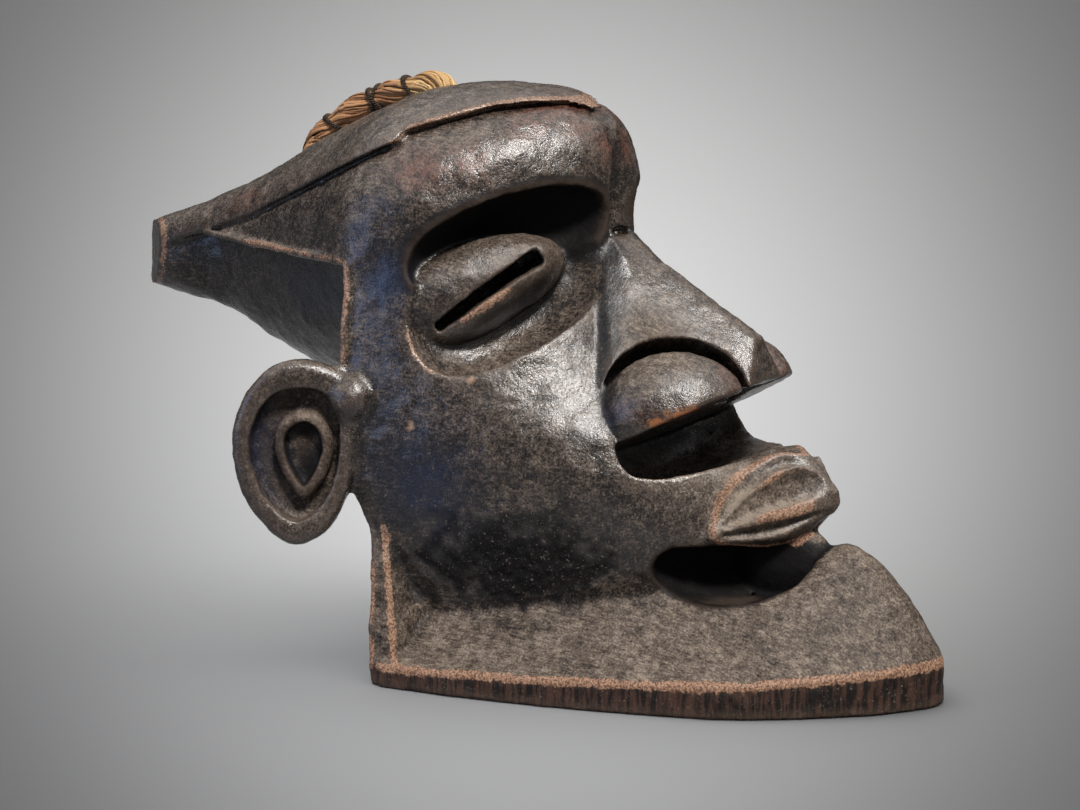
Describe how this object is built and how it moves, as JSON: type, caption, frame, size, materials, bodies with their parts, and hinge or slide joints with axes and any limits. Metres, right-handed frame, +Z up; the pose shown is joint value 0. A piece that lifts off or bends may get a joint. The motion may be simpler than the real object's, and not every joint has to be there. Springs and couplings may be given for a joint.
{
  "type": "carved wooden helmet mask",
  "caption": "Helmet mask carved from one block of dark wood, with a horned cap, pierced eyes, ears and a flared beard flange, and a raffia crest bound on top.",
  "frame": {"origin": "centre of the bounding box on the ground, under the face, with the mask standing on its beard flange", "axes": "+Z up; the face looks towards -Y and the horn of the cap points towards +Y; X runs from ear to ear"},
  "size_m": [0.2814, 0.524, 0.332],
  "materials": {
    "wood": "satin",
    "raffia": "matte",
    "cord": "matte"
  },
  "bodies": {
    "root": {"mask": "wood", "raffia_crest": "raffia", "binding_cord_rear": "cord", "binding_cord_middle": "cord", "binding_cord_front": "cord"}
  },
  "joints": []
}
